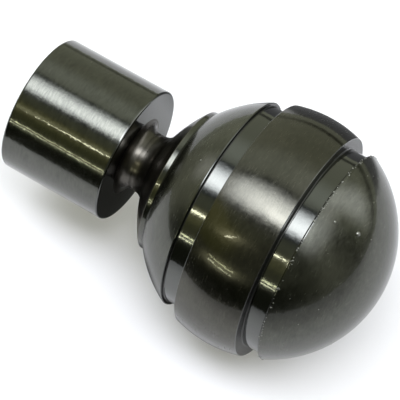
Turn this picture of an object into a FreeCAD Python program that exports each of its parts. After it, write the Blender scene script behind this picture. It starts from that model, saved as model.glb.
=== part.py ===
"""Curtain pole finial: a turned cup, neck, collar and grooved ball in one piece, with a grub screw.

Millimetres. The pole's axis is X. The origin is the centre of the cup's mouth, +X runs from the pole
towards the ball, and +Z is up. The grub screw is on the underside, at -Z.
"""
import FreeCAD, Part
import math
import os

# Driving dimensions: the cup that slips over the pole
POLE_DIAMETER = 28.0
POLE_CLEARANCE = 0.2
CUP_WALL = 1.8
CUP_LENGTH = 25.4
CUP_FLOOR = 3.4
CUP_EDGE_ROUND = 0.5
MOUTH_LEAD_IN = 0.4
SOCKET_CORNER_ROUND = 0.6

# Driving dimensions: the neck and the collar behind the ball
NECK_DIAMETER = 13.9
NECK_LENGTH = 5.9
NECK_CUP_ROUND = 2.4
NECK_COLLAR_ROUND = 3.5
COLLAR_DIAMETER = 34.2
COLLAR_BACK_DEPTH = 5.5
COLLAR_BACK_CROWN = 0.5
COLLAR_EDGE_WIDTH = 1.1
COLLAR_EDGE_ROUND = 0.25

# Driving dimensions: the ball and its two grooves
BALL_DIAMETER = 56.1
BAND_WIDTH = 15.4
GROOVE_WIDTH = 4.45
GROOVE_DEPTH = 0.98
GROOVE_EDGE_ROUND = 0.2

# Driving dimensions: the grub screw
SCREW_DIAMETER = 4.0
SCREW_LENGTH = 2.5
SCREW_FROM_MOUTH = 10.0
SCREW_SETBACK = 0.05
SCREW_END_CHAMFER = 0.35
SCREW_KEY_SIZE = 2.0
SCREW_KEY_DEPTH = 1.3
THREAD_CLEARANCE = 0.05

# Sizes that follow from them
SOCKET_RADIUS = POLE_DIAMETER / 2 + POLE_CLEARANCE
CUP_RADIUS = SOCKET_RADIUS + CUP_WALL
SOCKET_DEPTH = CUP_LENGTH - CUP_FLOOR
NECK_RADIUS = NECK_DIAMETER / 2
COLLAR_RADIUS = COLLAR_DIAMETER / 2
BALL_RADIUS = BALL_DIAMETER / 2
NECK_END = CUP_LENGTH + NECK_LENGTH
COLLAR_REAR = NECK_END + COLLAR_BACK_DEPTH
COLLAR_FRONT = COLLAR_REAR + COLLAR_EDGE_WIDTH
BALL_CENTRE = COLLAR_FRONT + math.sqrt(BALL_RADIUS ** 2 - COLLAR_RADIUS ** 2)
BAND_HALF = BAND_WIDTH / 2
GROOVE_OUTER = BAND_HALF + GROOVE_WIDTH
FLOOR_RADIUS = math.sqrt(BALL_RADIUS ** 2 - GROOVE_OUTER ** 2) - GROOVE_DEPTH
SCREW_HOLE_RADIUS = SCREW_DIAMETER / 2
SCREW_RADIUS = SCREW_HOLE_RADIUS - THREAD_CLEARANCE
SCREW_POINT = SOCKET_RADIUS + SCREW_SETBACK

ORIGIN = FreeCAD.Vector(0, 0, 0)
AXIS = FreeCAD.Vector(1, 0, 0)
DOWN = FreeCAD.Vector(0, 0, -1)
FULL_TURN = 360
KEY_SIDES = 6
MATCH = 1e-4


def section_point(along, radius):
    """A point of the turned section, at a distance along the axis and a radius below it."""
    return FreeCAD.Vector(along, 0, -radius)


def line(start, end):
    """A straight run of the section between two (along, radius) pairs."""
    return Part.LineSegment(section_point(*start), section_point(*end)).toShape()


def arc(start, middle, end):
    """A round run of the section through three (along, radius) pairs."""
    points = [section_point(*pair) for pair in (start, middle, end)]
    return Part.Arc(*points).toShape()


def ball_radius_at(offset):
    """The ball's radius about the axis, at an offset along the axis from its centre."""
    return math.sqrt(BALL_RADIUS ** 2 - offset ** 2)


def ball_run(first, last):
    """The ball's own outline between two offsets along the axis from its centre."""
    middle = (first + last) / 2
    pairs = [(BALL_CENTRE + offset, ball_radius_at(offset)) for offset in (first, middle, last)]
    return arc(*pairs)


def crown_middle(start, end, rise):
    """The middle of a gentle arc that stands proud of the line from start to end by rise."""
    run = end[0] - start[0]
    climb = end[1] - start[1]
    length = math.hypot(run, climb)
    along = (start[0] + end[0]) / 2 - rise * climb / length
    radius = (start[1] + end[1]) / 2 + rise * run / length
    return along, radius


def groove_runs(rear, front):
    """The two walls and the straight floor of a groove between two offsets from the ball's centre."""
    rear_top = (BALL_CENTRE + rear, ball_radius_at(rear))
    rear_foot = (BALL_CENTRE + rear, FLOOR_RADIUS)
    front_foot = (BALL_CENTRE + front, FLOOR_RADIUS)
    front_top = (BALL_CENTRE + front, ball_radius_at(front))
    return [line(rear_top, rear_foot), line(rear_foot, front_foot), line(front_foot, front_top)]


def turned_section():
    """The closed half section of the body, with every corner still sharp."""
    axis_at_floor = (SOCKET_DEPTH, 0)
    socket_corner = (SOCKET_DEPTH, SOCKET_RADIUS)
    mouth_inner = (0, SOCKET_RADIUS)
    mouth_outer = (0, CUP_RADIUS)
    cup_front = (CUP_LENGTH, CUP_RADIUS)
    neck_start = (CUP_LENGTH, NECK_RADIUS)
    neck_end = (NECK_END, NECK_RADIUS)
    collar_rear = (COLLAR_REAR, COLLAR_RADIUS)
    collar_front = (COLLAR_FRONT, COLLAR_RADIUS)
    ball_tip = (BALL_CENTRE + BALL_RADIUS, 0)
    runs = [
        line(axis_at_floor, socket_corner),
        line(socket_corner, mouth_inner),
        line(mouth_inner, mouth_outer),
        line(mouth_outer, cup_front),
        line(cup_front, neck_start),
        line(neck_start, neck_end),
        arc(neck_end, crown_middle(neck_end, collar_rear, COLLAR_BACK_CROWN), collar_rear),
        line(collar_rear, collar_front),
        ball_run(COLLAR_FRONT - BALL_CENTRE, -GROOVE_OUTER),
        *groove_runs(-GROOVE_OUTER, -BAND_HALF),
        ball_run(-BAND_HALF, BAND_HALF),
        *groove_runs(BAND_HALF, GROOVE_OUTER),
        ball_run(GROOVE_OUTER, BALL_RADIUS),
        line(ball_tip, axis_at_floor),
    ]
    return Part.Face(Part.Wire(runs))


def rings(solid, *stations):
    """The solid's circular edges about the axis at the given (along, radius) pairs."""
    found = []
    for edge in solid.Edges:
        if edge.Degenerated or not isinstance(edge.Curve, Part.Circle):
            continue
        place = (edge.Curve.Center.x, edge.Curve.Radius)
        on_axis = math.hypot(edge.Curve.Center.y, edge.Curve.Center.z) < MATCH
        if on_axis and any(math.dist(place, station) < MATCH for station in stations):
            found.append(edge)
    return found


def softened(body):
    """The turned body with its edges broken and its inside corners rounded."""
    groove_edges = []
    for offset in (-GROOVE_OUTER, -BAND_HALF, BAND_HALF, GROOVE_OUTER):
        groove_edges.append((BALL_CENTRE + offset, ball_radius_at(offset)))
    rounds = [
        (NECK_COLLAR_ROUND, [(NECK_END, NECK_RADIUS)]),
        (NECK_CUP_ROUND, [(CUP_LENGTH, NECK_RADIUS)]),
        (CUP_EDGE_ROUND, [(0, CUP_RADIUS), (CUP_LENGTH, CUP_RADIUS)]),
        (COLLAR_EDGE_ROUND, [(COLLAR_REAR, COLLAR_RADIUS)]),
        (GROOVE_EDGE_ROUND, groove_edges),
        (SOCKET_CORNER_ROUND, [(SOCKET_DEPTH, SOCKET_RADIUS)]),
    ]
    for radius, stations in rounds:
        body = body.makeFillet(radius, rings(body, *stations))
    return body.makeChamfer(MOUTH_LEAD_IN, rings(body, (0, SOCKET_RADIUS)))


def screw_hole():
    """The hole for the grub screw, from inside the socket out through the cup's lower wall."""
    start = FreeCAD.Vector(SCREW_FROM_MOUTH, 0, -SOCKET_RADIUS / 2)
    return Part.makeCylinder(SCREW_HOLE_RADIUS, CUP_RADIUS, start, DOWN)


def finial_body():
    """The whole turned piece, with the screw's hole drilled."""
    turned = turned_section().revolve(ORIGIN, AXIS, FULL_TURN)
    return softened(turned).cut(screw_hole()).removeSplitter()


def key_socket():
    """The hexagonal socket in the screw's outer end, two flats facing along the pole."""
    corner_radius = SCREW_KEY_SIZE / math.sqrt(3)
    outer = -(SCREW_POINT + SCREW_LENGTH)
    corners = []
    for side in range(KEY_SIDES + 1):
        turn = math.radians(FULL_TURN / KEY_SIDES * side)
        across = corner_radius * math.sin(turn)
        along = SCREW_FROM_MOUTH + corner_radius * math.cos(turn)
        corners.append(FreeCAD.Vector(along, across, outer))
    return Part.Face(Part.makePolygon(corners)).extrude(DOWN * -SCREW_KEY_DEPTH)


def grub_screw():
    """A headless screw with chamfered ends, backed off so that its point is clear of the pole."""
    point = FreeCAD.Vector(SCREW_FROM_MOUTH, 0, -SCREW_POINT)
    shank = Part.makeCylinder(SCREW_RADIUS, SCREW_LENGTH, point, DOWN)
    ends = [edge for edge in shank.Edges if isinstance(edge.Curve, Part.Circle)]
    return shank.makeChamfer(SCREW_END_CHAMFER, ends).cut(key_socket())


PIECES = {"finial_body": finial_body, "grub_screw": grub_screw}

os.makedirs("parts", exist_ok=True)
for node, make in PIECES.items():
    shape = make()
    solid = shape.Solids[0]
    solid.exportStep(f"parts/{node}.step")
    box = solid.BoundBox
    print(node, "valid", solid.isValid(), "solids", len(shape.Solids), "volume", round(solid.Volume, 1))
    print("  x", round(box.XMin, 3), round(box.XMax, 3), "z", round(box.ZMin, 3), round(box.ZMax, 3))
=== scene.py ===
"""Dresses the curtain pole finial: black nickel, brushed and polished on the lathe, under clear lacquer.

Metres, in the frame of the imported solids: the pole's axis is X, the cup's mouth is at the origin, the
ball is towards +X, and the grub screw is on the underside, at -Z.
"""
from __future__ import annotations

import cmath
import logging
import math
import random
from dataclasses import asdict, dataclass
from enum import Enum

import bpy
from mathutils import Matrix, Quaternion, Vector

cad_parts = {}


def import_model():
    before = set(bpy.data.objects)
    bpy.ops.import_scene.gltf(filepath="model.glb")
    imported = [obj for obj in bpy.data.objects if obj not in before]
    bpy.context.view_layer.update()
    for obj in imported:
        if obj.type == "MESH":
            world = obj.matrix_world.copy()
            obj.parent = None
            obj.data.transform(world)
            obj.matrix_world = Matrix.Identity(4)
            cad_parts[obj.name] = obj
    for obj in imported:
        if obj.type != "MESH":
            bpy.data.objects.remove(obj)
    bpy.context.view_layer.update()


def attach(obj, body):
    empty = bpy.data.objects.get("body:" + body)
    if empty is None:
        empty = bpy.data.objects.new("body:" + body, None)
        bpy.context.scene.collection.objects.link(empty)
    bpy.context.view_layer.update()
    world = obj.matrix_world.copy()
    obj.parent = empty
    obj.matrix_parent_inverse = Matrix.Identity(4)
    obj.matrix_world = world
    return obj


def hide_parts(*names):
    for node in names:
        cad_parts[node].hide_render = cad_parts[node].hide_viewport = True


LOG = logging.getLogger("finial")
MM = 0.001
FULL_TURN = 2 * math.pi
HALF_TURN_DEGREES = 180.0
WELD = 0.002 * MM
SHARP_EDGE = math.radians(32)
TURNED_MAP = "turned"
BODY = "root"

Pair = tuple[float, float]
Triple = tuple[float, float, float]
Wires = dict[int | str, object]
Socket = bpy.types.NodeSocket


class NodeBench:
    """Adds nodes to one tree and wires them up. A value is a number, a tuple or another node's socket."""

    def __init__(self, tree: bpy.types.NodeTree) -> None:
        """Takes the tree that the nodes go into."""
        self.tree = tree

    def add(self, kind: str, wires: Wires | None = None, **settings: object) -> bpy.types.Node:
        """Adds a node.

        Args:
            kind: the node's type name.
            wires: for each input, by name or place, its value.
            settings: the node's own properties.

        Returns:
            The new node.
        """
        node = self.tree.nodes.new(kind)
        for name, value in settings.items():
            setattr(node, name, value)
        self.wire(node, wires or {})
        return node

    def wire(self, node: bpy.types.Node, wires: Wires) -> None:
        """Links or sets a node's inputs.

        Args:
            node: the node.
            wires: for each input, by name or place, its value.
        """
        for key, value in wires.items():
            if isinstance(value, Socket):
                self.tree.links.new(value, node.inputs[key])
            else:
                node.inputs[key].default_value = value

    def result(self, kind: str, wires: Wires | None = None, **settings: object) -> Socket:
        """The first output of a new node."""
        return self.add(kind, wires, **settings).outputs[0]

    def math(self, operation: str, *values: object) -> Socket:
        """The result of a Math node on one to three values."""
        return self.result("ShaderNodeMath", dict(enumerate(values)), operation=operation)

    def plus(self, first: object, second: object) -> Socket:
        """The sum of two values."""
        return self.math("ADD", first, second)

    def minus(self, first: object, second: object) -> Socket:
        """The first value less the second."""
        return self.math("SUBTRACT", first, second)

    def times(self, first: object, second: object) -> Socket:
        """The product of two values."""
        return self.math("MULTIPLY", first, second)

    def over(self, first: object, second: object) -> Socket:
        """The first value divided by the second."""
        return self.math("DIVIDE", first, second)

    def vector(self, operation: str, *values: object) -> Socket:
        """The result of a Vector Math node on one or two values."""
        return self.result("ShaderNodeVectorMath", dict(enumerate(values)), operation=operation)

    def joined(self, *parts: object) -> Socket:
        """The vector of three parts."""
        return self.result("ShaderNodeCombineXYZ", dict(enumerate(parts)))

    def parts(self, vector: object) -> bpy.types.NodeOutputs:
        """The three parts of a vector, by axis."""
        return self.add("ShaderNodeSeparateXYZ", {0: vector}).outputs

    def spot(self, output: str = "Object") -> Socket:
        """Where the shaded point is in its object's frame, or as another output has it."""
        return self.add("ShaderNodeTexCoord").outputs[output]

    def between(self, value: object, low: float, high: float) -> Socket:
        """A smooth step, from 0 where the value is low to 1 where it is high."""
        wires = {"Value": value, "From Min": low, "From Max": high, "To Min": 0.0, "To Max": 1.0}
        return self.result("ShaderNodeMapRange", wires, interpolation_type="SMOOTHSTEP")

    def mix(self, label: str, factor: object, first: object, second: object) -> Socket:
        """A labelled mix of two colours, the first where the factor is 0 and the second where it is 1."""
        wires = {0: factor, 6: rgba(first), 7: rgba(second)}
        return self.add("ShaderNodeMix", wires, data_type="RGBA", label=label).outputs[2]

    def bump(self, height: object, depth: float, **under: object) -> Socket:
        """The normal of a surface with a height on it, over the normal under it if one is given."""
        wires = {"Height": height, "Distance": depth, "Strength": 1.0}
        return self.result("ShaderNodeBump", wires | under)


def rgba(colour: object) -> object:
    """A plain colour with its alpha, or a socket as it is."""
    return (*colour, 1.0) if isinstance(colour, tuple) else colour


def plain_object(name: str, data: bpy.types.ID) -> bpy.types.Object:
    """Puts a new object in the scene.

    Args:
        name: its name.
        data: its mesh, lamp or camera.

    Returns:
        The object, at the origin.
    """
    made = bpy.data.objects.new(name, data)
    bpy.context.scene.collection.objects.link(made)
    return made


def seed_mesh(points: list[Triple] | list[Vector], **values: list[float]) -> bpy.types.Mesh:
    """Makes a mesh of loose points for a tree to start from.

    Args:
        points: the points.
        values: for each attribute, its number at each point, or three in a row for a direction.

    Returns:
        The mesh, with the attributes on its points.
    """
    mesh = bpy.data.meshes.new("seed")
    mesh.from_pydata(points, [], [])
    for label, numbers in values.items():
        kind, part = ("FLOAT", "value") if len(numbers) == len(points) else ("FLOAT_VECTOR", "vector")
        mesh.attributes.new(label, kind, "POINT").data.foreach_set(part, numbers)
    return mesh


@dataclass(frozen=True)
class LacqueredMetal:
    """A plated metal under a clear lacquer, with marks left by the lathe or the brush."""

    name: str
    base: Triple
    roughness: float
    mark_length: float
    mark_pitch: float = 0.30 * MM
    mark_depth: float = 0.004 * MM
    tone_spread: float = 1.2
    roughness_spread: float = 0.20
    anisotropy: float = 0.0
    edge_tint: Triple = (0.62, 0.62, 0.62)
    lacquer: float = 0.6
    lacquer_roughness: float = 0.03
    flow_pitch: float = 1.3 * MM
    flow_depth: float = 0.014 * MM

    FINE_SHARE = 0.6
    BROAD_PITCH = 6
    BROAD_LENGTH = 2
    QUARTER_TURN = 0.25

    def dress(self) -> bpy.types.Material:
        """Builds the material.

        Returns:
            The material, with marks that run round the piece's axis.
        """
        material = bpy.data.materials.new(self.name)
        material.use_nodes = True
        bench = NodeBench(material.node_tree)
        fine = self.marks(bench, self.mark_pitch, self.mark_length)
        broad = self.marks(bench, self.mark_pitch * self.BROAD_PITCH, self.mark_length * self.BROAD_LENGTH)
        shade = bench.plus(bench.times(fine, self.FINE_SHARE), bench.times(broad, 1 - self.FINE_SHARE))
        shade = bench.minus(shade, 0.5)
        tone = bench.plus(bench.times(shade, self.tone_spread), 1.0)
        colour = {0: self.base, "Scale": tone}
        level = self.flow(bench)
        wires: Wires = {
            "Base Color": bench.result("ShaderNodeVectorMath", colour, operation="SCALE"),
            "Roughness": bench.plus(bench.times(shade, self.roughness_spread), self.roughness),
            "Normal": bench.bump(fine, self.mark_depth, Normal=level),
            "Metallic": 1.0,
            "Specular Tint": rgba(self.edge_tint),
            "Coat Weight": self.lacquer,
            "Coat Roughness": self.lacquer_roughness,
            "Anisotropic": self.anisotropy,
        }
        if self.lacquer > 0:
            wires["Coat Normal"] = level
        if self.anisotropy > 0:
            wires["Tangent"] = bench.result("ShaderNodeTangent", direction_type="UV_MAP", uv_map=TURNED_MAP)
            wires["Anisotropic Rotation"] = self.QUARTER_TURN
        bench.wire(material.node_tree.nodes["Principled BSDF"], wires)
        return material

    def flow(self, bench: NodeBench) -> Socket:
        """The normal of a surface with the slow waves of the plating and the lacquer."""
        wires = {"Vector": bench.spot(), "Scale": 1.0 / self.flow_pitch, "Detail": 2.0}
        return bench.bump(bench.result("ShaderNodeTexNoise", wires), self.flow_depth)

    def marks(self, bench: NodeBench, pitch: float, length: float) -> Socket:
        """Adds streaks that run round the axis.

        Args:
            bench: the bench of the material's tree.
            pitch: how far apart the streaks are along the section.
            length: how long they are, as a share of the radius.

        Returns:
            The socket of the streaks' height, from 0 to 1.
        """
        off_axis = bench.vector("MULTIPLY", bench.spot(), (0, 1, 1))
        around = bench.parts(bench.vector("NORMALIZE", off_axis))
        chart = bench.parts(bench.result("ShaderNodeUVMap", uv_map=TURNED_MAP))
        turned = [bench.over(around[axis], length) for axis in "YZ"]
        streaks = bench.joined(bench.over(chart["Y"], pitch), *turned)
        return bench.result("ShaderNodeTexNoise", {"Vector": streaks, "Scale": 1.0, "Detail": 3.0})


# The specks' nickel is lighter than the body's, which paints the glints that the specks catch.
SPECK_NICKEL_PAINTED_GLINT = LacqueredMetal(
    name="speck_nickel_painted_glint",
    base=(0.27, 0.27, 0.25),
    roughness=0.34,
    mark_pitch=0.2 * MM,
    mark_length=0.5,
    mark_depth=0.002 * MM,
    tone_spread=0.6,
    lacquer=0.0,
)
BLACK_STEEL = LacqueredMetal(
    name="blackened_steel",
    base=(0.05, 0.05, 0.052),
    roughness=0.42,
    roughness_spread=0.25,
    mark_pitch=0.2 * MM,
    mark_length=0.5,
    tone_spread=0.6,
    lacquer=0.0,
)


class Finish(Enum):
    """The finishes of the turned body, in the order of their materials."""

    BRUSHED = LacqueredMetal(
        name="brushed_black_nickel",
        base=(0.072, 0.074, 0.062),
        roughness=0.23,
        roughness_spread=0.24,
        anisotropy=0.85,
        mark_pitch=0.40 * MM,
        mark_length=0.11,
        mark_depth=0.010 * MM,
        tone_spread=1.7,
        lacquer=0.9,
        flow_pitch=0.9 * MM,
    )
    POLISHED = LacqueredMetal(
        name="polished_black_nickel",
        base=(0.100, 0.103, 0.097),
        roughness=0.11,
        roughness_spread=0.10,
        mark_length=0.6,
        mark_depth=0.001 * MM,
        tone_spread=0.25,
    )
    SATIN = LacqueredMetal(
        name="satin_black_nickel",
        base=(0.082, 0.084, 0.070),
        roughness=0.24,
        roughness_spread=0.24,
        anisotropy=0.3,
        mark_pitch=0.32 * MM,
        mark_length=0.07,
        mark_depth=0.003 * MM,
        tone_spread=1.8,
    )
    BORE = LacqueredMetal(
        name="bored_socket_nickel",
        base=(0.16, 0.165, 0.15),
        roughness=0.42,
        roughness_spread=0.15,
        anisotropy=0.5,
        mark_length=1.5,
        mark_depth=0.02 * MM,
        tone_spread=0.4,
        lacquer=0.0,
    )
    UNBUFFED = LacqueredMetal(
        name="unbuffed_black_nickel",
        base=(0.095, 0.088, 0.076),
        roughness=0.30,
        mark_pitch=0.6 * MM,
        mark_length=0.4,
        lacquer=0.2,
        lacquer_roughness=0.16,
        flow_pitch=3.0 * MM,
        flow_depth=0.02 * MM,
    )
    BAND = LacqueredMetal(
        name="fine_brushed_black_nickel",
        base=(0.074, 0.072, 0.059),
        roughness=0.24,
        roughness_spread=0.30,
        anisotropy=0.8,
        mark_pitch=0.34 * MM,
        mark_length=0.06,
        mark_depth=0.002 * MM,
        lacquer=0.55,
        flow_pitch=1.1 * MM,
        flow_depth=0.012 * MM,
    )
    # The groove walls' nickel has a darkened base colour, which paints the shade that falls in the grooves.
    WALL = LacqueredMetal(
        name="painted_shade_wall_nickel",
        base=(0.030, 0.030, 0.027),
        roughness=0.45,
        mark_length=0.2,
        lacquer=0.5,
        lacquer_roughness=0.10,
    )

    @property
    def order(self) -> float:
        """The finish's place among the others, as a mesh keeps it."""
        return float(list(Finish).index(self))

    def meeting(self, other: Finish) -> Finish:
        """Finds what a rounded corner between two runs is finished with.

        Args:
            other: the other run's finish.

        Returns:
            The corner's finish: polished, unless the brush and the mop don't reach it.
        """
        pair = {self, other}
        # A groove's inner corners take the walls' painted shade.
        if pair == {Finish.WALL, Finish.POLISHED}:
            return Finish.WALL
        return next((rough for rough in (Finish.UNBUFFED, Finish.BORE) if rough in pair), Finish.POLISHED)


def circle_through(*stations: complex) -> tuple[complex, float]:
    """Finds the circle through three stations.

    Args:
        stations: the three.

    Returns:
        The circle's centre and its radius.
    """
    first, second, third = stations
    ratio = (third - first) / (second - first)
    centre = (second - first) * (ratio - abs(ratio) ** 2) / (2j * ratio.imag) + first
    return centre, abs(first - centre)


def swung(start: complex, end: complex, centre: complex, share: float) -> complex:
    """The station a share of the way round a centre from one station to another."""
    swing = cmath.phase((end - centre) / (start - centre))
    return centre + (start - centre) * cmath.rect(1.0, swing * share)


@dataclass
class Run:
    """A stretch of a section: its stations, its finish and the radius that the corner at its end has."""

    points: list[complex]
    finish: Finish
    round_end: float

    CORNER_STEPS = 5
    SUPPORT = 0.05 * MM
    SUPPORTED = 4 * SUPPORT
    LONGEST = 1.5 * MM

    def rounded(self, after: Run) -> list[complex]:
        """Rounds the corner at the run's end, and cuts the two runs back from it.

        Args:
            after: the run that starts at the corner.

        Returns:
            The stations between the two shortened ends.
        """
        corner = self.points[-1]
        into = corner - self.points[-2]
        out = after.points[1] - corner
        into /= abs(into)
        out /= abs(out)
        turn = cmath.phase(out / into)
        back = self.round_end * math.tan(abs(turn) / 2)
        first, last = corner - into * back, corner + out * back
        self.points[-1], after.points[0] = first, last
        centre = first + into * 1j * math.copysign(self.round_end, turn)
        steps = self.CORNER_STEPS
        return [swung(first, last, centre, step / steps) for step in range(1, steps)]

    def spaced(self) -> list[complex]:
        """Divides the run's long steps, with a station close to each end to keep the shading true.

        Returns:
            The run's stations and the added ones.
        """
        made = [self.points[0]]
        last = len(self.points) - 2
        for place, (one, other) in enumerate(zip(self.points, self.points[1:])):
            length = abs(other - one)
            pieces = math.ceil(length / self.LONGEST)
            shares = [step / pieces for step in range(1, pieces)]
            if place == 0 and length > self.SUPPORTED:
                shares.append(self.SUPPORT / length)
            if place == last and length > self.SUPPORTED:
                shares.append(1 - self.SUPPORT / length)
            made.extend(one + (other - one) * share for share in sorted(shares))
            made.append(other)
        return made


class Section:
    """The half section of a turned piece, from end to end.

    A station is a complex number: its real part is along the axis, its imaginary part out from it.
    """

    FEWEST_STEPS = 8

    def __init__(self, start: complex) -> None:
        """Starts the outline at a station."""
        self.runs: list[Run] = []
        self.end = start

    def line(self, to: complex, finish: Finish, round_end: float = 0.0) -> None:
        """Adds a straight run to a station, with its finish and the radius of the corner at its end."""
        self.runs.append(Run([self.end, to], finish, round_end))
        self.end = to

    def arc(self, middle: complex, to: complex, finish: Finish, round_end: float = 0.0) -> None:
        """Adds a round run.

        Args:
            middle: a station that it passes through.
            to: the station it runs to.
            finish: what it is finished with.
            round_end: the radius of the corner at its end.
        """
        centre, radius = circle_through(self.end, middle, to)
        sweep = cmath.phase((to - centre) / (self.end - centre))
        steps = max(self.FEWEST_STEPS, math.ceil(abs(sweep) * radius / Run.LONGEST))
        round_points = [swung(self.end, to, centre, step / steps) for step in range(1, steps)]
        self.runs.append(Run([self.end, *round_points, to], finish, round_end))
        self.end = to

    def stations(self) -> list[tuple[complex, Finish]]:
        """Rounds the corners, which shortens the runs, and spaces the runs out.

        Returns:
            Each station, with the finish of what starts there.
        """
        pairs = list(zip(self.runs, [*self.runs[1:], self.runs[-1]]))
        corners = [run.rounded(after) if run.round_end else [] for run, after in pairs]
        made: list[tuple[complex, Finish]] = []
        for (run, after), corner in zip(pairs, corners):
            made.extend((point, run.finish) for point in run.spaced()[:-1])
            if corner:
                finish = run.finish.meeting(after.finish)
                made.extend((point, finish) for point in [run.points[-1], *corner])
        made.append((self.end, self.runs[-1].finish))
        return made

    def seed(self) -> bpy.types.Mesh:
        """Makes the section into points for the lathe tree.

        Returns:
            The points, each with the length of the section up to it and its finish.
        """
        points, finishes = zip(*self.stations())
        run = [0.0]
        for one, other in zip(points, points[1:]):
            run.append(run[-1] + abs(other - one))
        places = [(point.real, point.imag, 0.0) for point in points]
        return seed_mesh(places, run=run, finish=[finish.order for finish in finishes])


class ShapeTree:
    """A Geometry Nodes tree with named inputs that ends in a realized, dressed mesh."""

    KINDS = {int: "Int", float: "Float", bpy.types.Material: "Material"}

    def __init__(self, inputs: dict[str, object]) -> None:
        """Builds the tree.

        Args:
            inputs: each input's name and value; the seed that the tree starts from is one more.
        """
        self.tree = bpy.data.node_groups.new(type(self).__name__, "GeometryNodeTree")
        self.bench = NodeBench(self.tree)
        sockets = self.tree.interface
        sockets.new_socket("Seed", in_out="INPUT", socket_type="NodeSocketGeometry")
        self.values: dict[str, object] = {}
        for label, value in inputs.items():
            kind = f"NodeSocket{self.KINDS[type(value)]}"
            self.values[sockets.new_socket(label, in_out="INPUT", socket_type=kind).identifier] = value
        sockets.new_socket("Shape", in_out="OUTPUT", socket_type="NodeSocketGeometry")
        self.given = self.bench.add("NodeGroupInput").outputs
        self.bench.add("NodeGroupOutput", {0: self.shape()})

    def shape(self) -> Socket:
        """The dressed mesh, which each kind of tree makes in its own way."""
        raise NotImplementedError

    def grow(self, name: str, seed: bpy.types.Mesh) -> bpy.types.Object:
        """Runs the tree and keeps its result as a plain mesh.

        Args:
            name: the finished object's name.
            seed: the mesh that the tree starts from.

        Returns:
            The finished object, with no modifier left on it.
        """
        made = plain_object(name, seed)
        modifier = made.modifiers.new("grow", "NODES")
        modifier.node_group = self.tree
        for identifier, value in self.values.items():
            modifier[identifier] = value
        graph = bpy.context.evaluated_depsgraph_get()
        mesh = bpy.data.meshes.new_from_object(made.evaluated_get(graph), depsgraph=graph)
        made.modifiers.remove(modifier)
        for slot in reversed(range(len(mesh.materials))):
            if mesh.materials[slot] is None:
                mesh.materials.pop(index=slot)
        made.data = mesh
        mesh.name = name
        return made

    def stored(
        self, mesh: object, name: str, value: object, domain: str = "POINT", kind: str = "FLOAT"
    ) -> Socket:
        """A mesh with a field stored on it as a named attribute."""
        wires = {"Geometry": mesh, "Name": name, "Value": value}
        return self.bench.result("GeometryNodeStoreNamedAttribute", wires, data_type=kind, domain=domain)

    def named(self, name: str, kind: str = "FLOAT") -> Socket:
        """The field of a named attribute."""
        return self.bench.result("GeometryNodeInputNamedAttribute", {"Name": name}, data_type=kind)

    def wrapped(self, rows: object, steps: object) -> Socket:
        """Makes a grid to be wrapped round an axis, with each point's row and turn stored.

        Args:
            rows: how many points it has along the axis.
            steps: how many steps it has round the axis.

        Returns:
            The grid's socket; its station runs from 0 and its turn from 0 to 1.
        """
        bench = self.bench
        wires = {"Vertices X": bench.plus(steps, 1.0), "Vertices Y": rows}
        grid = bench.result("GeometryNodeMeshGrid", wires)
        index = bench.result("GeometryNodeInputIndex")
        column = bench.math("FLOOR", bench.over(bench.plus(index, 0.5), rows))
        grid = self.stored(grid, "station", bench.minus(index, bench.times(column, rows)))
        return self.stored(grid, "turn", bench.over(column, steps))

    def charted(self, mesh: object, length: object) -> Socket:
        """A mesh with the map that the finishes' marks follow: the turn and a length along the section."""
        chart = self.bench.joined(self.named("turn"), length)
        return self.stored(mesh, TURNED_MAP, chart, "CORNER", "FLOAT2")

    def placed(self, mesh: object, place: object) -> Socket:
        """A wrapped grid with each point at its place, welded along its seam and at its two ends."""
        moved = self.bench.result("GeometryNodeSetPosition", {"Geometry": mesh, "Position": place})
        return self.bench.result("GeometryNodeMergeByDistance", {0: moved, "Distance": self.given["Weld"]})

    def around(self, radius: object) -> list[Socket]:
        """A radius times the sine and the cosine of each point's turn."""
        angle = self.bench.times(self.named("turn"), FULL_TURN)
        return [self.bench.times(radius, self.bench.math(part, angle)) for part in ("SINE", "COSINE")]

    def cutter(self, place: object, **sizes: object) -> Socket:
        """An upright cylinder or prism, of the sizes that its node asks for, with its middle at a place."""
        made = self.bench.result("GeometryNodeMeshCylinder", sizes)
        return self.bench.result("GeometryNodeTransform", {"Geometry": made, "Translation": place})

    def cut(self, mesh: object, tool: object) -> Socket:
        """A mesh with a tool's shape cut out of it."""
        wires = {"Mesh 1": mesh, "Mesh 2": tool}
        return self.bench.result("GeometryNodeMeshBoolean", wires, operation="DIFFERENCE", solver="EXACT")

    def shaded(self, mesh: object) -> Socket:
        """Shades a mesh smooth, but for its sharp edges.

        Args:
            mesh: the mesh to shade.

        Returns:
            The shaded mesh's socket.
        """
        smooth = self.bench.result("GeometryNodeSetShadeSmooth", {"Geometry": mesh}, domain="FACE")
        angle = self.bench.result("GeometryNodeInputMeshEdgeAngle")
        wires = {"A": angle, "B": self.given["Sharp edge"]}
        sharp = self.bench.result("FunctionNodeCompare", wires, data_type="FLOAT", operation="GREATER_THAN")
        wires = {"Geometry": smooth, "Selection": sharp, "Shade Smooth": False}
        return self.bench.result("GeometryNodeSetShadeSmooth", wires, domain="EDGE")

    def finished(self, mesh: object, material: str, chosen: object = True) -> Socket:
        """A mesh whose chosen faces have the material of an input."""
        wires = {"Geometry": mesh, "Selection": chosen, "Material": self.given[material]}
        return self.bench.result("GeometryNodeSetMaterial", wires)

    def realized(self, mesh: object) -> Socket:
        """A mesh with its instances made real."""
        return self.bench.result("GeometryNodeRealizeInstances", {0: mesh})


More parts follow.
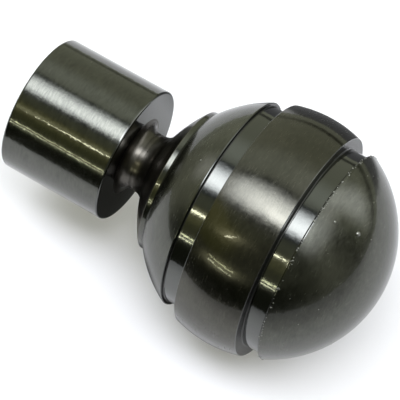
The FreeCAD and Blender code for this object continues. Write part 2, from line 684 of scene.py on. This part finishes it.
class LatheTree(ShapeTree):
    """The tree that turns a section about X and drills it."""

    HOLE_STEPS = 48
    KIND_MARGIN = 0.25

    def shape(self) -> Socket:
        """Turns the section, drills it and dresses it.

        Returns:
            The socket of the mesh, with each finish's material from the input of its name.
        """
        turned = self.realized(self.shaded(self.cut(self.revolved(), self.drill())))
        for finish in Finish:
            wires = {"A": self.named("kind"), "B": finish.order, "Epsilon": self.KIND_MARGIN}
            chosen = self.bench.result("FunctionNodeCompare", wires, data_type="FLOAT", operation="EQUAL")
            turned = self.finished(turned, finish.name, chosen)
        return turned

    def sampled(self, value: object, kind: str = "FLOAT") -> Socket:
        """Reads a field of the section.

        Args:
            value: the field to read.
            kind: its data type.

        Returns:
            The socket of its value at each point's station, or at each face's lower one.
        """
        station = self.bench.math("FLOOR", self.named("station"))
        wires = {"Geometry": self.given["Seed"], "Value": value, "Index": station}
        return self.bench.result("GeometryNodeSampleIndex", wires, data_type=kind, domain="POINT")

    def revolved(self) -> Socket:
        """Wraps a grid round the axis along the section.

        Returns:
            The socket of the turned mesh, welded at its seam and its two ends.
        """
        bench = self.bench
        rows = bench.add("GeometryNodeAttributeDomainSize", {0: self.given["Seed"]}).outputs["Point Count"]
        mesh = self.wrapped(rows, self.given["Steps round"])
        spot = bench.parts(self.sampled(bench.result("GeometryNodeInputPosition"), "FLOAT_VECTOR"))
        across, down = self.around(spot["Y"])
        place = bench.joined(spot["X"], across, bench.times(down, -1.0))
        mesh = self.charted(mesh, self.sampled(self.named("run")))
        mesh = self.stored(mesh, "kind", self.sampled(self.named("finish")), "FACE")
        return self.placed(mesh, place)

    def drill(self) -> Socket:
        """Makes the drill that the grub screw's hole is cut with, from below.

        Returns:
            The socket of the drill, which leaves the bore's finish.
        """
        radius, depth = self.given["Hole radius"], self.given["Hole depth"]
        place = self.bench.joined(self.given["Hole along"], 0.0, self.bench.times(depth, -1.0))
        drill = self.cutter(place, Vertices=self.HOLE_STEPS, Radius=radius, Depth=depth)
        return self.stored(drill, "kind", Finish.BORE.order, "FACE")


@dataclass
class TurnedBody:
    """The finial's one turned piece: cup, neck, collar and grooved ball."""

    socket_radius: float = 14.2 * MM
    cup_radius: float = 16.0 * MM
    cup_length: float = 25.4 * MM
    socket_depth: float = 22.0 * MM
    cup_edge_round: float = 0.5 * MM
    mouth_lead_in: float = 0.4 * MM
    socket_corner_round: float = 0.6 * MM
    neck_radius: float = 6.95 * MM
    neck_length: float = 5.9 * MM
    neck_cup_round: float = 2.4 * MM
    neck_collar_round: float = 3.5 * MM
    collar_radius: float = 17.1 * MM
    collar_back_depth: float = 5.5 * MM
    collar_back_crown: float = 0.5 * MM
    collar_edge_width: float = 1.1 * MM
    collar_edge_round: float = 0.25 * MM
    ball_radius: float = 28.05 * MM
    band_half: float = 7.7 * MM
    groove_width: float = 4.45 * MM
    groove_depth: float = 0.98 * MM
    groove_edge_round: float = 0.2 * MM
    groove_corner_round: float = 0.3 * MM
    screw_hole_radius: float = 2.0 * MM
    screw_from_mouth: float = 10.0 * MM
    steps_round: int = 240

    def __post_init__(self) -> None:
        """Works out the sizes that follow: along the axis, from the ball's centre and out to the floors."""
        self.neck_end = self.cup_length + self.neck_length
        self.collar_front = self.neck_end + self.collar_back_depth + self.collar_edge_width
        self.ball_centre = self.collar_front + math.sqrt(self.ball_radius**2 - self.collar_radius**2)
        self.groove_outer = self.band_half + self.groove_width
        self.floor_radius = self.on_ball(self.groove_outer).imag - self.groove_depth

    def on_ball(self, offset: float) -> complex:
        """A station on the ball, at an offset along the axis from its centre."""
        return complex(self.ball_centre + offset, math.sqrt(max(self.ball_radius**2 - offset**2, 0.0)))

    def section(self) -> Section:
        """Draws the half section.

        Returns:
            The outline from the socket's floor, over the mouth, to the tip of the ball.
        """
        outline = Section(complex(self.socket_depth, 0.0))
        outline.line(complex(self.socket_depth, self.socket_radius), Finish.BORE, self.socket_corner_round)
        outline.line(complex(self.mouth_lead_in, self.socket_radius), Finish.BORE)
        outline.line(complex(0.0, self.socket_radius + self.mouth_lead_in), Finish.BORE)
        outline.line(complex(0.0, self.cup_radius), Finish.POLISHED, self.cup_edge_round)
        outline.line(complex(self.cup_length, self.cup_radius), Finish.BRUSHED, self.cup_edge_round)
        outline.line(complex(self.cup_length, self.neck_radius), Finish.POLISHED, self.neck_cup_round)
        self.waist(outline)
        outline.line(complex(self.collar_front, self.collar_radius), Finish.BRUSHED)
        edge = self.groove_edge_round
        self.ball_run(outline, self.collar_front - self.ball_centre, -self.groove_outer, Finish.SATIN, edge)
        self.groove(outline, -self.groove_outer, -self.band_half)
        self.ball_run(outline, -self.band_half, self.band_half, Finish.BAND, edge)
        self.groove(outline, self.band_half, self.groove_outer)
        self.ball_run(outline, self.groove_outer, self.ball_radius, Finish.SATIN)
        return outline

    def waist(self, outline: Section) -> None:
        """Adds the neck, the hollow round that ends it, and the collar's back.

        Args:
            outline: the section they are added to.
        """
        corner = complex(self.neck_end, self.neck_radius)
        rear = complex(self.neck_end + self.collar_back_depth, self.collar_radius)
        proud = 1j * (rear - corner) / abs(rear - corner) * self.collar_back_crown
        hub, reach = circle_through(corner, (corner + rear) / 2 + proud, rear)
        away = reach + self.neck_collar_round
        out = self.neck_radius + self.neck_collar_round
        centre = complex(hub.real - math.sqrt(away**2 - (out - hub.imag) ** 2), out)
        start = complex(centre.real, self.neck_radius)
        end = hub + (centre - hub) * reach / away
        outline.line(start, Finish.UNBUFFED)
        outline.arc(swung(start, end, centre, 0.5), end, Finish.UNBUFFED)
        outline.arc(swung(end, rear, hub, 0.5), rear, Finish.UNBUFFED, self.collar_edge_round)

    def ball_run(
        self, outline: Section, first: float, last: float, finish: Finish, edge: float = 0.0
    ) -> None:
        """Adds a stretch of the ball between two offsets from its centre, with the round of its edge."""
        outline.arc(self.on_ball((first + last) / 2), self.on_ball(last), finish, edge)

    def groove(self, outline: Section, rear: float, front: float) -> None:
        """Adds a groove's two walls and its floor.

        Args:
            outline: the section they are added to.
            rear: the rear wall's offset from the ball's centre.
            front: the front wall's offset.
        """
        corner = self.groove_corner_round
        outline.line(complex(self.ball_centre + rear, self.floor_radius), Finish.WALL, corner)
        outline.line(complex(self.ball_centre + front, self.floor_radius), Finish.POLISHED, corner)
        outline.line(self.on_ball(front), Finish.WALL, self.groove_edge_round)

    def build(self) -> bpy.types.Object:
        """Turns the body, drills it and dresses it.

        Returns:
            The finished piece.
        """
        inputs: dict[str, object] = {
            "Steps round": self.steps_round,
            "Weld": WELD,
            "Sharp edge": SHARP_EDGE,
            "Hole radius": self.screw_hole_radius,
            "Hole along": self.screw_from_mouth,
            "Hole depth": self.cup_radius,
        }
        inputs |= {finish.name: finish.value.dress() for finish in Finish}
        return LatheTree(inputs).grow("turned_body", self.section().seed())


class ScrewTree(ShapeTree):
    """The tree that makes a threaded, headless screw with a key socket, pointing up at its place."""

    FLANK = (0.1, 0.9)
    KEY_SIDES = 6

    def shape(self) -> Socket:
        """The threaded shank, cut with the key and dressed."""
        screw = self.realized(self.shaded(self.cut(self.threaded(), self.key())))
        return self.finished(screw, "Steel")

    def threaded(self) -> Socket:
        """Wraps a grid into the threaded shank.

        Returns:
            The socket of the closed shank, chamfered at both ends.
        """
        bench, given = self.bench, self.given
        mesh = self.wrapped(given["Rows"], given["Steps round"])
        station = self.named("station")
        # The first row and the last shrink onto the axis and close the ends; the thread is on the others.
        share = bench.over(bench.minus(station, 1.0), bench.minus(given["Rows"], 3.0))
        share = bench.math("MINIMUM", bench.math("MAXIMUM", share, 0.0), 1.0)
        depth = bench.times(share, given["Length"])
        phase = bench.plus(bench.over(depth, given["Pitch"]), self.named("turn"))
        ridge = bench.between(bench.math("PINGPONG", bench.times(phase, 2.0), 1.0), *self.FLANK)
        height = bench.minus(given["Crest radius"], given["Core radius"])
        radius = bench.plus(bench.times(ridge, height), given["Core radius"])
        to_end = bench.math("MINIMUM", depth, bench.minus(given["Length"], depth))
        end_radius = bench.minus(given["Crest radius"], given["Chamfer"])
        radius = bench.math("MINIMUM", radius, bench.plus(end_radius, to_end))
        past_first = bench.math("GREATER_THAN", station, 0.5)
        before_last = bench.math("LESS_THAN", station, bench.minus(given["Rows"], 1.5))
        radius = bench.times(radius, bench.times(past_first, before_last))
        across, along = self.around(radius)
        along = bench.plus(along, given["From mouth"])
        down = bench.times(bench.plus(given["Point"], depth), -1.0)
        return self.placed(self.charted(mesh, depth), bench.joined(along, across, down))

    def key(self) -> Socket:
        """Makes the six-sided key that the screw's outer end is cut with.

        Returns:
            The socket of the key, half of it in the screw.
        """
        bench, given = self.bench, self.given
        radius = bench.over(given["Key across"], math.sqrt(3))
        depth = bench.times(given["Key depth"], 2.0)
        end = bench.times(bench.plus(given["Point"], given["Length"]), -1.0)
        place = bench.joined(given["From mouth"], 0.0, end)
        return self.cutter(place, Vertices=self.KEY_SIDES, Radius=radius, Depth=depth)


@dataclass
class GrubScrew:
    """The headless screw in the underside of the cup, which grips the pole."""

    crest_radius: float = 1.95 * MM
    core_radius: float = 1.62 * MM
    pitch: float = 0.7 * MM
    length: float = 2.5 * MM
    chamfer: float = 0.35 * MM
    key_across: float = 2.0 * MM
    key_depth: float = 1.3 * MM
    from_mouth: float = 10.0 * MM
    point: float = 14.25 * MM
    rows: int = 64
    steps_round: int = 48

    def build(self) -> bpy.types.Object:
        """Makes the screw and dresses it.

        Returns:
            The finished piece.
        """
        inputs = {size.replace("_", " ").capitalize(): value for size, value in asdict(self).items()}
        inputs |= {"Weld": WELD, "Sharp edge": SHARP_EDGE, "Steel": BLACK_STEEL.dress()}
        return ScrewTree(inputs).grow("threaded_grub_screw", seed_mesh([]))


class NibTree(ShapeTree):
    """The tree that stands a low blob on each point of its seed."""

    def shape(self) -> Socket:
        """Stands the blobs on the points.

        Returns:
            The socket of the blobs' mesh, dressed.
        """
        bench = self.bench
        blob = bench.result("GeometryNodeMeshIcoSphere", {"Radius": 1.0, "Subdivisions": 2})
        outward = self.named("outward", "FLOAT_VECTOR")
        stand = bench.result("FunctionNodeAlignRotationToVector", {"Vector": outward}, axis="Z")
        radius = self.named("radius")
        scale = bench.joined(radius, radius, bench.times(radius, self.given["Flatness"]))
        wires = {"Points": self.given["Seed"], "Instance": blob, "Rotation": stand, "Scale": scale}
        nibs = self.realized(bench.result("GeometryNodeInstanceOnPoints", wires))
        nibs = bench.result("GeometryNodeSetShadeSmooth", {"Geometry": nibs}, domain="FACE")
        return self.finished(nibs, "Metal")


@dataclass
class PlatingNibs:
    """Specks in the plating: a rough row along the front dome's lip, some strays and a few large ones."""

    lip_count: int = 210
    lip_width: float = 0.45 * MM
    lip_radii: Pair = (0.07 * MM, 0.21 * MM)
    stray_count: int = 46
    stray_radii: Pair = (0.05 * MM, 0.12 * MM)
    tip_clear: float = 4.0 * MM
    flatness: float = 0.6
    seed: int = 7
    large: tuple[Triple, ...] = (
        (20.4 * MM, -2.8, 0.60 * MM),
        (15.7 * MM, 2.5, 0.30 * MM),
        (-15.7 * MM, 8.5, 0.20 * MM),
        (23.2 * MM, -29.4, 0.12 * MM),
    )

    def spots(self, body: TurnedBody) -> list[Triple]:
        """Draws where the specks are.

        Args:
            body: the body that they are on.

        Returns:
            Each speck's offset along the axis from the ball's centre, its turn in degrees and its radius.
        """
        draw = random.Random(self.seed)
        turns = (-HALF_TURN_DEGREES, HALF_TURN_DEGREES)
        lip = body.groove_outer + body.groove_edge_round / 2
        made = list(self.large)
        for _ in range(self.lip_count):
            offset = lip + draw.random() ** 2 * self.lip_width
            made.append((offset, draw.uniform(*turns), draw.uniform(*self.lip_radii)))
        for _ in range(self.stray_count):
            offset = draw.uniform(lip, body.ball_radius - self.tip_clear)
            made.append((offset, draw.uniform(*turns), draw.uniform(*self.stray_radii)))
        return made

    def build(self, body: TurnedBody) -> bpy.types.Object:
        """Stands the specks on the body.

        Args:
            body: the body that they are on.

        Returns:
            The finished piece.
        """
        centre = Vector((body.ball_centre, 0, 0))
        places, outward, radii = [], [], []
        for offset, turn, radius in self.spots(body):
            spot = body.on_ball(offset)
            angle = math.radians(turn)
            place = Vector((spot.real, -spot.imag * math.sin(angle), spot.imag * math.cos(angle)))
            places.append(place)
            outward.extend((place - centre).normalized())
            radii.append(radius)
        seed = seed_mesh(places, outward=outward, radius=radii)
        # The lighter nickel paints the specks' glints.
        inputs = {"Flatness": self.flatness, "Metal": SPECK_NICKEL_PAINTED_GLINT.dress()}
        return NibTree(inputs).grow("plating_nibs", seed)


def heading(azimuth: float, elevation: float) -> Vector:
    """The direction at an azimuth from -Y towards +X and an elevation, in degrees."""
    turn, rise = math.radians(azimuth), math.radians(elevation)
    return Vector((math.sin(turn) * math.cos(rise), -math.cos(turn) * math.cos(rise), math.sin(rise)))


@dataclass(frozen=True)
class Lamp:
    """A thin lamp that faces the finial."""

    name: str
    azimuth: float
    elevation: float
    length: float
    width: float
    radiance: float
    colour: Triple
    tilt: float = 0.0
    distance: float = 1.0

    def hang(self, middle: Vector) -> None:
        """Hangs the lamp.

        Args:
            middle: the point it faces.
        """
        data = bpy.data.lights.new(self.name, "AREA")
        data.shape = "RECTANGLE"
        data.size, data.size_y = self.length, self.width
        data.energy = self.radiance * math.pi * self.length * self.width
        data.color = self.colour
        lamp = plain_object(self.name, data)
        away = heading(self.azimuth, self.elevation)
        lamp.location = middle + away * self.distance
        lamp.rotation_mode = "QUATERNION"
        twist = Quaternion((0, 0, 1), math.radians(self.tilt))
        lamp.rotation_quaternion = away.to_track_quat("Z", "Y") @ twist
        lamp.visible_camera = False


class Compass(Enum):
    """How a panel's place in the room is given."""

    ROOM = "azimuth from -Y towards +X, and elevation"
    POLE = "turn about the pole's axis from straight up towards -Y, and lean towards +X"


@dataclass(frozen=True)
class Panel:
    """A soft-edged patch of the room, in degrees round and up from its compass."""

    name: str
    middle: Pair
    half: Pair
    soft: Pair
    glow: Triple
    compass: Compass = Compass.ROOM

    def laid_over(self, bench: NodeBench, under: object, *angles: Socket) -> Socket:
        """Lays the panel over the room so far.

        Args:
            bench: the bench of the world's tree.
            under: the colour of the room so far.
            angles: the direction's angles round and up from the panel's compass.

        Returns:
            The socket of the colour with the panel in it.
        """
        cover = 1.0
        for angle, middle, half, soft in zip(angles, self.middle, self.half, self.soft):
            off = bench.math("WRAP", bench.minus(angle, middle), HALF_TURN_DEGREES, -HALF_TURN_DEGREES)
            step = bench.between(bench.math("ABSOLUTE", off), half + soft, half - soft)
            cover = bench.times(step, cover)
        return bench.mix(self.name, cover, under, self.glow)


ROOM_TONE = (0.13, 0.135, 0.10)
ROOM_PANELS = (
    Panel("far_wall", (180.0, 0.0), (64.0, 64.0), (12.0, 12.0), (0.50, 0.52, 0.39)),
    Panel("far_skirting", (180.0, -7.5), (70.0, 2.6), (14.0, 1.4), (0.06, 0.06, 0.05)),
    Panel("far_left_wall", (-132.0, 10.0), (22.0, 28.0), (26.0, 20.0), (0.66, 0.68, 0.53)),
    Panel("far_ceiling", (-33.0, -5.0), (14.0, 44.0), (12.0, 16.0), (0.84, 0.89, 0.76), Compass.POLE),
    Panel("left_wall", (-88.0, 5.0), (24.0, 35.0), (14.0, 12.0), (0.48, 0.49, 0.38)),
    Panel("left_lamp", (-99.0, 20.0), (8.0, 8.0), (7.0, 6.0), (1.5, 1.5, 1.4)),
    Panel("right_wall", (84.0, 16.0), (12.0, 26.0), (10.0, 14.0), (0.36, 0.37, 0.29)),
    Panel("end_wall", (108.0, 47.0), (34.0, 14.0), (10.0, 8.0), (1.5, 1.52, 1.45)),
    Panel("window", (136.0, 25.0), (10.0, 24.0), (8.0, 12.0), (2.1, 2.15, 2.1)),
    Panel("near_upper_wall", (-30.0, 57.0), (55.0, 6.0), (20.0, 5.0), (0.25, 0.265, 0.18)),
    Panel("warm_wall", (-48.0, 41.0), (33.0, 8.5), (11.0, 4.0), (0.46, 0.45, 0.19)),
    Panel("warm_wall_below", (-50.0, 27.0), (34.0, 6.5), (11.0, 4.0), (0.22, 0.225, 0.085)),
    Panel("near_dark", (-8.0, -2.0), (64.0, 14.0), (14.0, 4.0), (0.030, 0.033, 0.022)),
    Panel("softbox_frame", (2.5, -1.0), (19.5, 40.0), (2.5, 12.0), (0.07, 0.085, 0.085), Compass.POLE),
    Panel("softbox_end", (0.0, 46.0), (22.0, 9.0), (10.0, 8.0), (1.5, 1.55, 1.55), Compass.POLE),
    Panel("softbox", (2.5, -1.0), (11.0, 38.0), (7.5, 12.0), (5.2, 5.4, 5.65), Compass.POLE),
    Panel("softbox_core", (6.5, 8.0), (6.5, 26.0), (6.0, 14.0), (8.3, 8.55, 8.9), Compass.POLE),
    Panel("softbox_hot", (9.5, 13.0), (3.5, 10.0), (4.0, 8.0), (12.5, 12.7, 13.0), Compass.POLE),
)


@dataclass(frozen=True)
class PaleTable:
    """A pale, matt table that reads as white, with painted shadows that only the metal's reflections see.

    Painted shadow darkens it behind the ball, past two slanted edges, and under the ball;
    painted shade darkens it towards the near right corner, and a little all over.
    """

    colour: Triple = (0.80, 0.79, 0.83)
    glow: float = 0.14
    roughness: float = 0.9
    # Painted shade of the table as the metal mirrors it: all over, towards the corner, the ball's shadow
    # behind it, and under it.
    painted_all_over_shade: float = 0.16
    painted_corner_shade: float = 0.45
    corner_way: Pair = (0.6, -0.8)
    corner_reach: Pair = (60.0 * MM, 160.0 * MM)
    painted_ball_shadow: float = 0.86
    behind_edges: tuple[Pair, ...] = ((26.0 * MM, 50.0 * MM), (66.0 * MM, 58.0 * MM))
    behind_ways: tuple[Pair, ...] = ((0.97, 0.25), (-0.68, 0.73))
    behind_soft: float = 7.0 * MM
    painted_under_shadow: float = 0.85
    under_middle: Pair = (44.0 * MM, -3.0 * MM)
    under_half: Pair = (20.0 * MM, 21.0 * MM)
    under_soft: float = 8.0 * MM

    def dress(self) -> bpy.types.Material:
        """Builds the material.

        Returns:
            The material, whose painted shadows only mirrored light sees.
        """
        material = bpy.data.materials.new("pale_table")
        material.use_nodes = True
        bench = NodeBench(material.node_tree)
        path = bench.add("ShaderNodeLightPath").outputs
        # Painted shadow: the table's colour and glow are darkened where glossy rays see it.
        painted_shade = bench.times(self.dimness(bench), path["Is Glossy Ray"])
        seen = bench.plus(path["Is Camera Ray"], path["Is Glossy Ray"])
        seen = bench.math("MINIMUM", bench.plus(seen, path["Is Transmission Ray"]), 1.0)
        lit = bench.times(seen, bench.minus(1.0, painted_shade))
        wires: Wires = {
            "Base Color": bench.mix("painted_shadow_mix", painted_shade, self.colour, (0.0, 0.0, 0.0)),
            "Roughness": self.roughness,
            "Specular IOR Level": 0.0,
            "Emission Color": rgba((1.0, 1.0, 1.0)),
            "Emission Strength": bench.times(lit, self.glow),
        }
        bench.wire(material.node_tree.nodes["Principled BSDF"], wires)
        return material

    def dimness(self, bench: NodeBench) -> Socket:
        """Adds the painted shadows and the painted shade.

        Args:
            bench: the bench of the table's tree.

        Returns:
            The socket of the painted shade, from 0 to 1.
        """
        parts = bench.parts(bench.spot())
        spot = (parts["X"], parts["Y"])
        # Painted shadow under the ball and the neck.
        under = self.painted_under_shadow
        for along, middle, half in zip(spot, self.under_middle, self.under_half):
            off = bench.math("ABSOLUTE", bench.minus(along, middle))
            under = bench.times(bench.between(off, half + self.under_soft, half - self.under_soft), under)
        # Painted shadow of the ball, cast behind it past two slanted edges.
        behind = self.painted_ball_shadow
        for edge, way in zip(self.behind_edges, self.behind_ways):
            from_edge = [bench.minus(along, start) for along, start in zip(spot, edge)]
            past = bench.plus(*[bench.times(along, part) for along, part in zip(from_edge, way)])
            behind = bench.times(bench.between(past, -self.behind_soft, self.behind_soft), behind)
        # Painted shade towards the near right corner, and a little all over.
        away = bench.plus(*[bench.times(along, part) for along, part in zip(spot, self.corner_way)])
        corner = bench.times(bench.between(away, *self.corner_reach), self.painted_corner_shade)
        corner = bench.plus(corner, self.painted_all_over_shade)
        return bench.math("MAXIMUM", bench.math("MAXIMUM", behind, under), corner)


@dataclass
class Studio:
    """The pale table, the soft room and lamps round it, and the camera."""

    camera_place: Triple = (0.16387, -0.19396, 0.45093)
    camera_target: Triple = (0.0440, -0.0030, 0.00305)
    camera_reach: Pair = (0.01, 20.0)
    lens_mm: float = 206.66
    sensor_mm: float = 36.0
    table_height: float = -28.06 * MM
    table_middle: float = 45.0 * MM
    table_halves: Pair = (0.29, 0.17)
    table_steps: int = 128
    floor_drop: float = 0.05 * MM
    floor_reach: float = 6.0
    lamp_target: Triple = (0.045, 0.0, 0.0)
    lamps: tuple[Lamp, ...] = (
        Lamp("warm_strip_high", -20.5, 44.2, 0.20, 0.019, 21.0, (1.0, 0.97, 0.72), tilt=42.0),
        Lamp("warm_strip_upper", -13.0, 19.1, 0.42, 0.012, 14.0, (1.0, 1.0, 0.66)),
        Lamp("warm_strip_lower", -13.0, 15.4, 0.42, 0.012, 14.0, (1.0, 1.0, 0.72)),
    )

    def set_up(self) -> None:
        """Sets the view, the table, the room, the lamps and the camera."""
        bpy.context.scene.view_settings.view_transform = "Standard"
        self.lay_table()
        self.tint_room()
        for lamp in self.lamps:
            lamp.hang(Vector(self.lamp_target))
        self.place_camera()

    def place_camera(self) -> None:
        """Puts the camera at the photograph's place."""
        data = bpy.data.cameras.new("camera")
        data.lens, data.sensor_width = self.lens_mm, self.sensor_mm
        data.clip_start, data.clip_end = self.camera_reach
        camera = plain_object("camera", data)
        camera.location = self.camera_place
        sight = Vector(self.camera_target) - Vector(self.camera_place)
        camera.rotation_mode = "QUATERNION"
        camera.rotation_quaternion = sight.to_track_quat("-Z", "Y")
        bpy.context.scene.camera = camera

    def lay_table(self) -> None:
        """Lays the pale table under the ball, and a wide floor like it that metal doesn't mirror."""
        material = PaleTable().dress()
        rim = []
        for step in range(self.table_steps):
            angle = FULL_TURN * step / self.table_steps
            along = self.table_middle + self.table_halves[0] * math.cos(angle)
            rim.append((along, self.table_halves[1] * math.sin(angle), self.table_height))
        reach, low = self.floor_reach, self.table_height - self.floor_drop
        corners = [(-reach, -reach, low), (reach, -reach, low), (reach, reach, low), (-reach, reach, low)]
        for name, points in (("table", rim), ("floor", corners)):
            mesh = bpy.data.meshes.new(name)
            mesh.from_pydata(points, [], [tuple(range(len(points)))])
            mesh.materials.append(material)
            laid = plain_object(name, mesh)
            laid.visible_glossy = name == "table"

    def tint_room(self) -> None:
        """Tints the room by direction, panel by panel."""
        world = bpy.data.worlds.new("room")
        world.use_nodes = True
        bpy.context.scene.world = world
        bench = NodeBench(world.node_tree)
        way = bench.parts(bench.vector("NORMALIZE", bench.spot("Generated")))
        near = bench.times(way["Y"], -1.0)
        angles = {
            Compass.ROOM: (bench.math("ARCTAN2", way["X"], near), bench.math("ARCSINE", way["Z"])),
            Compass.POLE: (bench.math("ARCTAN2", near, way["Z"]), bench.math("ARCSINE", way["X"])),
        }
        degrees = {}
        for compass, pair in angles.items():
            degrees[compass] = [bench.math("DEGREES", angle) for angle in pair]
        room = ROOM_TONE
        for panel in ROOM_PANELS:
            room = panel.laid_over(bench, room, *degrees[panel.compass])
        bench.wire(world.node_tree.nodes["Background"], {"Color": room, "Strength": 1.0})


def main() -> None:
    """Builds the finial's pieces and the studio round them."""
    logging.basicConfig(level=logging.INFO, format="%(name)s: %(message)s")
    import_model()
    turned = TurnedBody()
    body = turned.build()
    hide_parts("finial_body")
    screw = GrubScrew().build()
    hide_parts("grub_screw")
    nibs = PlatingNibs().build(turned)
    for piece, slot in ((body, "black_nickel"), (screw, "black_steel"), (nibs, "black_nickel")):
        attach(piece, BODY)
        LOG.info("%s: %d faces", piece.name, len(piece.data.polygons))
    Studio().set_up()


if __name__ == "__main__":
    main()
